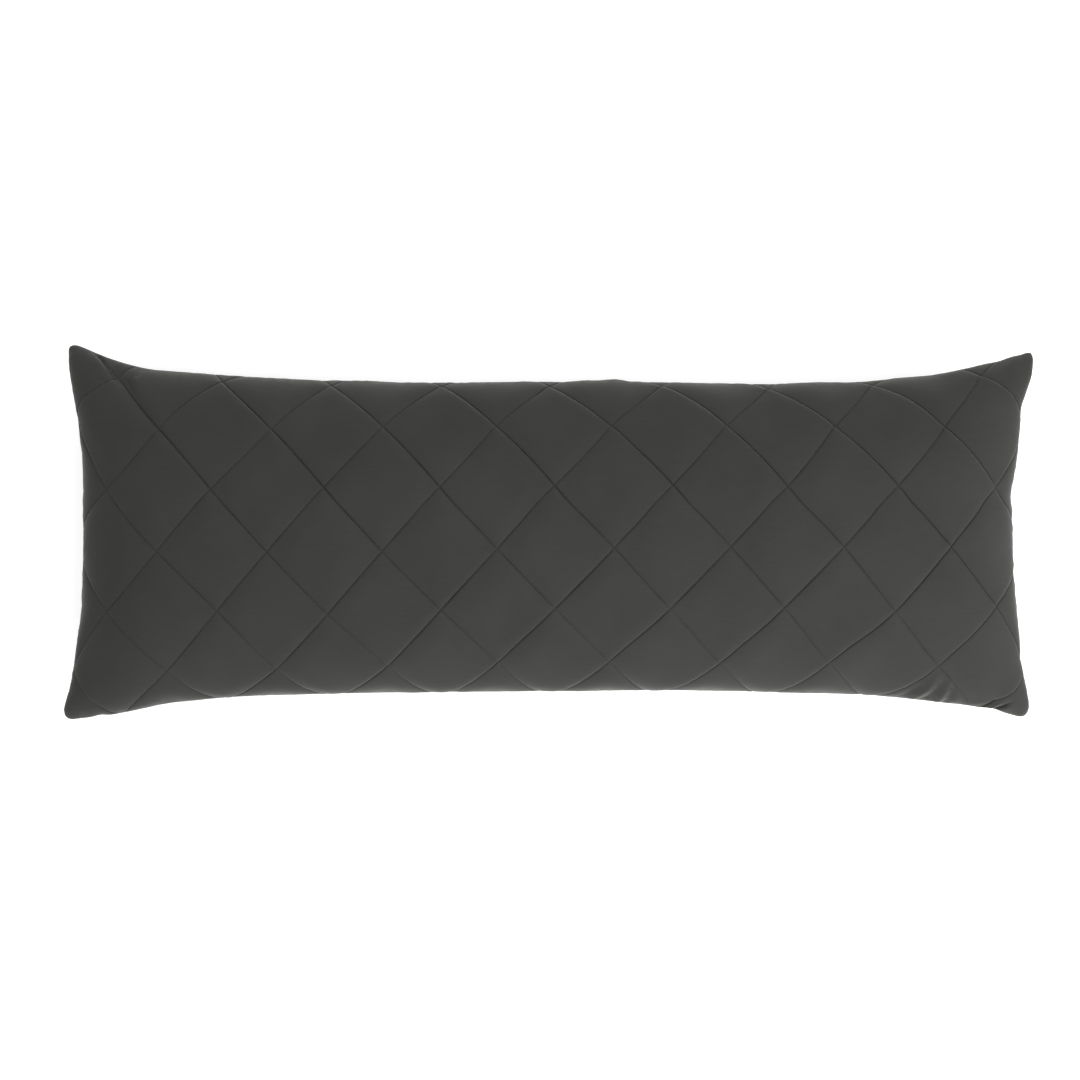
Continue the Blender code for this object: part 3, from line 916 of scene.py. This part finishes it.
def pressed_and_shaded(cut_x, cut_y, panel, settings):
    """How dark the pile is along the stitch lines, in folds and beside the seam: pile pressed by
    thread and seam, and painted shade.
    """
    line = line_shade(cut_x, cut_y, settings)
    # Painted shade in the folds, darker the deeper they are.
    painted_fold_shade = limited(crease_depth(WRINKLES, cut_x, cut_y, panel) / FULLY_SHADED_FOLD) ** 2
    seam = seam_shade(cut_x, cut_y, panel, settings)
    return np.maximum(np.maximum(line, FOLD_SHADE * painted_fold_shade), seam)


def carry(mesh, name, vectors):
    """Gives each point of a mesh a vector, for its material to read."""
    layer = mesh.attributes.new(name, "FLOAT_VECTOR", "POINT")
    layer.data.foreach_set("vector", vectors.astype(np.float32).ravel())


def cover_mesh(settling, settings):
    """Both panels on the filled shape, sharing their points along the seam."""
    cut, faces = flat_panel()
    on_seam = (np.abs(cut) == HALF_CUT).any(axis=1)
    inner = cut[~on_seam]
    lower = np.arange(len(cut))
    lower[~on_seam] = len(cut) + np.arange(len(inner))
    upper_points = sewn_surface(*cut.T, +1, settling, settings).T
    lower_points = sewn_surface(*inner.T, -1, settling, settings).T
    points = np.concatenate([upper_points, lower_points]) + centring()
    faces = faces + [[int(lower[point]) for point in reversed(face)] for face in faces]
    mesh = bpy.data.meshes.new("pillow cover")
    mesh.from_pydata(points.tolist(), [], faces)
    shade = np.concatenate([pressed_and_shaded(*cut.T, +1, settings), pressed_and_shaded(*inner.T, -1, settings)])
    zeros = np.zeros(len(points))
    carry(mesh, "cut", np.column_stack([np.concatenate([cut, inner]), zeros]))
    carry(mesh, "pressed_and_shaded", np.column_stack([shade, zeros, zeros]))
    mesh.shade_smooth()
    return mesh


class CoverSettings(bpy.types.PropertyGroup):
    slack: number("Slack", "How much longer the cloth is than its seams", 0.004)
    pressure: number("Pressure", "How hard the filling presses on the cloth", 1.6)
    settle_cap: measure("Settling cap", "The furthest that the cloth may move as it settles", 1.3)
    groove_depth: measure(
        "Groove depth", "How far the thread pulls the cloth in along a stitch line", 1.3
    )
    groove_reach: measure("Groove reach", "How far from a stitch line the cloth is pulled in", 1)
    ridge_height: measure(
        "Ridge height", "How far the filling swells out the cloth uphill of a stitch line", 1.6
    )
    ridge_reach: measure("Ridge reach", "How far from the stitch line that swelling is highest", 6)
    unevenness: measure("Unevenness", "How far the filling lifts or leaves the loose cloth", 0.5)
    pucker_depth: measure("Pucker depth", "How deep the small gathers beside the seam are", 0.5)
    # Painted shade beside the stitch lines, partly pile pressed by the thread: how dark it is, how
    # much darker where the cloth falls to a line's right, away from the lamp at the right, and how
    # far it reaches.
    line_shade: number("Line shade", "How dark the pile is pressed on a stitch line", 0.4)
    painted_lean_shade: number(
        "Nap", "How much darker a stitch line is where the cloth falls to the right of it", 0.7
    )
    shade_reach: measure(
        "Line shade reach", "How far from a stitch line the pile is pressed dark", 0.6
    )
    # Pile pressed by the seam, with painted shade along it: how dark, and how far it reaches.
    seam_shade: number("Seam shade", "How dark the pile is pressed beside the seam", 0.85)
    seam_shade_reach: measure(
        "Seam shade reach", "How far from the seam the pile is pressed dark", 1.5
    )
    # Painted shade where the upper panel turns under towards the seam.
    rim_shade: number(
        "Rim shade", "How dark the upper panel is where it turns under towards the seam", 0.15
    )
    pile_dark: colour(
        "Pile, dark", "Colour of the cloth where its pile lies away", (0.0235, 0.0235, 0.0218)
    )
    pile_light: colour(
        "Pile, light", "Colour of the cloth where its pile faces the eye", (0.0328, 0.0328, 0.0307)
    )
    # Painted shade as well as pressed pile: this near-black colour is mixed in along the stitch
    # lines, in folds and beside the seam.
    pressed_shaded_pile: colour(
        "Pile, pressed",
        "Colour of the cloth where thread or seam presses it",
        (0.007, 0.007, 0.0065),
    )
    sheen: number("Sheen", "How strongly the pile shines at the rim", 0.26)
    sheen_roughness: number("Sheen roughness", "How far that shine spreads", 0.33)
    sheen_tint: colour("Sheen tint", "Colour of that shine", (0.9, 0.9, 0.85))


settling = Settling()


class PILLOW_OT_cover(bpy.types.Operator):
    """Makes the quilted cover, settled over its filling"""

    bl_idname = "pillow.cover"
    bl_label = "Cover"

    def execute(self, context):
        settings = context.scene.pillow_cover
        bpy.ops.object.select_all(action="DESELECT")
        settling.simulate(settings)
        cover = bpy.data.objects.new("cover", cover_mesh(settling, settings))
        context.collection.objects.link(cover)
        cover.data.materials.append(cloth_finish(settings))
        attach(cover, BODY)
        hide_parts(NODE)
        return {"FINISHED"}


# --- The stitches ---

LINES_ASIDE = 7  # stitch lines of one lean to each side of the crossing
LINE_REACH = 0.6  # metres of a line to each side of the crossing's row, before the panel's edge
LOOK_AHEAD = 0.4 * MM  # how far ahead along its line a stitch is aimed

# Where a stitch bends, at its ends and at its shoulders: how far from its middle as a share of its
# length, how far it drops there in thicknesses, and the share of its thickness that is left.
STITCH_END = (0.5, 0.75, 0.6)
STITCH_SHOULDER = (0.3, 0.12, 0.95)
STITCH_SCALES = (0.93, 1.05)  # the shortest and the longest stitch, as shares of the length
STITCH_TURN = 0.07  # radians by which a stitch may be askew
STITCH_LIFT = 0.25  # share of its thickness by which a stitch's middle lies above the cloth


class StitchSettings(bpy.types.PropertyGroup):
    pitch: measure("Pitch", "From one stitch to the next", 3.6)
    length: measure("Length", "Length of one stitch", 2.9)
    thickness: measure("Thickness", "Thickness of the thread", 0.55)
    margin: measure("Margin", "How near to the seam the stitches run", 4)
    ply_turn: measure("Ply turn", "Length of thread in which a ply winds round once", 1.1)
    thread_dark: colour(
        "Thread, dark", "Colour of the thread between its plies", (0.015, 0.015, 0.0143)
    )
    thread_light: colour(
        "Thread, light", "Colour of the thread's plies", (0.036, 0.036, 0.0342)
    )


def one_stitch(settings):
    """One stitch along X: a short thread whose two ends dive into the cloth."""
    bpy.ops.object.select_all(action="DESELECT")
    bpy.ops.mesh.primitive_cylinder_add(
        vertices=5,
        radius=settings.thickness / 2,
        depth=settings.length,
        rotation=(0, np.pi / 2, 0),
    )
    stitch = bpy.context.object
    bpy.ops.object.transform_apply(location=True, rotation=True, scale=True)
    bpy.ops.object.mode_set(mode="EDIT")
    shoulder = STITCH_SHOULDER[0] * settings.length
    for place in (-shoulder, 0, shoulder):
        bpy.ops.mesh.select_all(action="SELECT")
        bpy.ops.mesh.bisect(plane_co=(place, 0, 0), plane_no=(1, 0, 0))
    for place, drop, size in (STITCH_END, STITCH_SHOULDER):
        place, drop = place * settings.length, -drop * settings.thickness
        mesh = bmesh.from_edit_mesh(stitch.data)
        for side in (-1, 1):
            for vert in mesh.verts:
                vert.select = abs(vert.co.x - side * place) < 0.02 * MM
            mesh.select_flush_mode()
            bmesh.update_edit_mesh(stitch.data)
            bpy.ops.transform.translate(value=(0, 0, drop))
            bpy.ops.transform.resize(value=(1, size, size), center_override=(side * place, 0, drop))
    bpy.ops.object.mode_set(mode="OBJECT")
    stitch.data.update()
    return stitch


def stitch_places(settings):
    """Where the stitches of one panel lie on the flat cloth, and the lean of each one's line."""
    rows = []
    run = np.arange(-LINE_REACH, LINE_REACH, settings.pitch)
    for lean in (1, -1):
        for count in range(-LINES_ASIDE, LINES_ASIDE + 1):
            cut_x = CROSSING_X + DIAMOND_LENGTH * count - lean * DIAMOND_LENGTH / DIAMOND_SPAN * run
            cut_y = CROSSING_Y + DIAMOND_WIDTH / DIAMOND_SPAN * run
            cut_x = cut_x - pulled_aside(cut_x, cut_y)
            inside = to_seam(cut_x, cut_y) > settings.margin
            rows.append(np.stack([cut_x[inside], cut_y[inside], np.full(inside.sum(), lean)]))
    return np.concatenate(rows, axis=1)


def sewn_stitches(name, panel, stitch, settling, settings, cover_settings):
    """Copies a stitch to every place on one panel's stitch lines, as one mesh."""
    cut_x, cut_y, lean = stitch_places(settings)
    run_x = -lean * DIAMOND_LENGTH / DIAMOND_SPAN * LOOK_AHEAD
    run_y = DIAMOND_WIDTH / DIAMOND_SPAN * LOOK_AHEAD
    here = sewn_surface(cut_x, cut_y, panel, settling, cover_settings)
    ahead = sewn_surface(cut_x + run_x, cut_y + run_y, panel, settling, cover_settings)
    along = ahead - here
    along /= np.linalg.norm(along, axis=0)
    out = -inward(cut_x, cut_y, panel)
    out -= along * (along * out).sum(axis=0)
    out /= np.linalg.norm(out, axis=0)
    side = np.cross(out, along, axis=0)

    shape = np.array([vert.co for vert in stitch.data.vertices])
    faces = [list(face.vertices) for face in stitch.data.polygons]
    count = len(cut_x)
    random = np.random.default_rng(20 + panel)
    scale = random.uniform(*STITCH_SCALES, count)
    turn = random.uniform(-STITCH_TURN, STITCH_TURN, count)
    places = here + out * STITCH_LIFT * settings.thickness + centring()[:, None]
    ahead = along * np.cos(turn) + side * np.sin(turn)
    aside = side * np.cos(turn) - along * np.sin(turn)
    points = (
        places.T[:, None]
        + shape[None, :, 0:1] * (ahead * scale).T[:, None]
        + shape[None, :, 1:2] * aside.T[:, None]
        + shape[None, :, 2:3] * out.T[:, None]
    )
    starts = (np.arange(count) * len(shape)).tolist()
    all_faces = [[start + point for point in face] for start in starts for face in faces]
    mesh = bpy.data.meshes.new(name)
    mesh.from_pydata(points.reshape(-1, 3).tolist(), [], all_faces)
    strand = np.tile(shape, (count, 1))
    strand[:, 0] += np.repeat(random.uniform(0, settings.ply_turn, count), len(shape))
    carry(mesh, "strand", strand)
    mesh.shade_smooth()
    stitches = bpy.data.objects.new(name, mesh)
    bpy.context.collection.objects.link(stitches)
    return stitches


class PILLOW_OT_stitches(bpy.types.Operator):
    """Sews the quilting's stitches along every stitch line of both panels"""

    bl_idname = "pillow.stitches"
    bl_label = "Stitches"

    def execute(self, context):
        settings = context.scene.pillow_stitches
        stitch = one_stitch(settings)
        finish = thread_finish(settings)
        for name, panel in (("stitches_upper", +1), ("stitches_lower", -1)):
            stitches = sewn_stitches(
                name, panel, stitch, settling, settings, context.scene.pillow_cover
            )
            stitches.data.materials.append(finish)
            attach(stitches, BODY)
        bpy.data.objects.remove(stitch)
        return {"FINISHED"}


# --- The stage ---

FLOOR_SIZE = 12  # metres
FLOOR_DROP = 0.3 * MM  # how far the floor lies under the pillow, so that they share no plane


class StageSettings(bpy.types.PropertyGroup):
    camera_distance: measure("Camera distance", "From the camera to the pillow's seam", 2600)
    view_width: measure("View width", "What the camera takes in at the seam", 1425.6)
    view_middle: bpy.props.FloatVectorProperty(
        name="View middle",
        description="The point that the camera looks straight down on",
        default=(-11.4 * MM, -10.4 * MM, SEAM_HEIGHT),
        subtype="XYZ",
        unit="LENGTH",
    )
    surround: number("Surround", "Brightness of the white studio all round", 1.0)
    key_power: number("Key light", "Power of the large lamp at the right", 53.0, "POWER")
    front_power: number("Front light", "Power of the large lamp in front", 7.0, "POWER")
    back_power: number("Back light", "Power of the large lamp behind", 13.0, "POWER")
    floor_colour: colour("Floor", "Colour of the floor", (0.9, 0.9, 0.9))


def soft_lamp(name, place, size, power):
    """Adds a large square lamp, facing the middle of the pillow."""
    bpy.ops.object.light_add(type="AREA", location=place)
    lamp = bpy.context.object
    lamp.name = name
    lamp.data.shape = "SQUARE"
    lamp.data.size = size
    lamp.data.energy = power
    x, y, z = np.array([0, 0, SEAM_HEIGHT]) - np.array(place)
    lamp.rotation_euler = (np.arctan2(np.hypot(x, y), -z), 0, np.arctan2(-x, y))


class PILLOW_OT_stage(bpy.types.Operator):
    """Lays a pale floor, lights it softly and sets the camera straight above the pillow"""

    bl_idname = "pillow.stage"
    bl_label = "Stage"

    def execute(self, context):
        settings = context.scene.pillow_stage
        bpy.ops.object.select_all(action="DESELECT")
        bpy.ops.mesh.primitive_plane_add(size=FLOOR_SIZE, location=(0, 0, -FLOOR_DROP))
        floor = context.object
        floor.name = "floor"
        finish = Finish("pale floor")
        shade = finish.noise(finish.node("ShaderNodeTexCoord", {}, {}).outputs["Object"], scale=3.0)
        finish.feed(finish.shader, {
            "Base Color": settings.floor_colour,
            "Roughness": 0.85 + shade * 0.1,
            "Specular IOR Level": 0.1,
            "Emission Color": settings.floor_colour,
            "Emission Strength": 0.4,
        })
        floor.data.materials.append(finish.material)

        world = bpy.data.worlds.new("white studio")
        world.use_nodes = True
        light = world.node_tree.nodes["Background"].inputs
        light["Color"].default_value = (1, 1, 1, 1)
        light["Strength"].default_value = settings.surround
        context.scene.world = world
        soft_lamp("key lamp", (2.1, -0.9, 1.5), 1.6, settings.key_power)
        soft_lamp("front lamp", (0.15, -1.05, 0.9), 1.0, settings.front_power)
        soft_lamp("back lamp", (0.2, 2.2, 1.4), 1.6, settings.back_power)

        x, y, z = settings.view_middle
        place = (x, y, z + settings.camera_distance)
        bpy.ops.object.camera_add(location=place, rotation=(0, 0, 0))
        camera = context.object
        camera.name = "overhead camera"
        camera.data.lens = camera.data.sensor_width * settings.camera_distance / settings.view_width
        context.scene.camera = camera
        context.scene.view_settings.view_transform = "Standard"
        context.scene.view_settings.look = "None"
        return {"FINISHED"}


class PILLOW_PT_sidebar(bpy.types.Panel):
    """Lists the pillow's steps and their sizes"""

    bl_idname = "PILLOW_PT_sidebar"
    bl_label = "Quilted Body Pillow"
    bl_space_type = "VIEW_3D"
    bl_region_type = "UI"
    bl_category = "Pillow"

    def draw(self, context):
        for operator, settings, group in STEPS:
            box = self.layout.box()
            box.operator(operator.bl_idname)
            for name in group.__annotations__:
                box.prop(getattr(context.scene, settings), name)


STEPS = (
    (PILLOW_OT_cover, "pillow_cover", CoverSettings),
    (PILLOW_OT_stitches, "pillow_stitches", StitchSettings),
    (PILLOW_OT_stage, "pillow_stage", StageSettings),
)


def register():
    for operator, settings, group in STEPS:
        bpy.utils.register_class(group)
        setattr(bpy.types.Scene, settings, bpy.props.PointerProperty(type=group))
        bpy.utils.register_class(operator)
    bpy.utils.register_class(PILLOW_PT_sidebar)


def unregister():
    bpy.utils.unregister_class(PILLOW_PT_sidebar)
    for operator, settings, group in reversed(STEPS):
        bpy.utils.unregister_class(operator)
        delattr(bpy.types.Scene, settings)
        bpy.utils.unregister_class(group)


def main():
    register()
    bpy.ops.pillow.cover()
    bpy.ops.pillow.stitches()
    bpy.ops.pillow.stage()


if __name__ == "__main__":
    main()
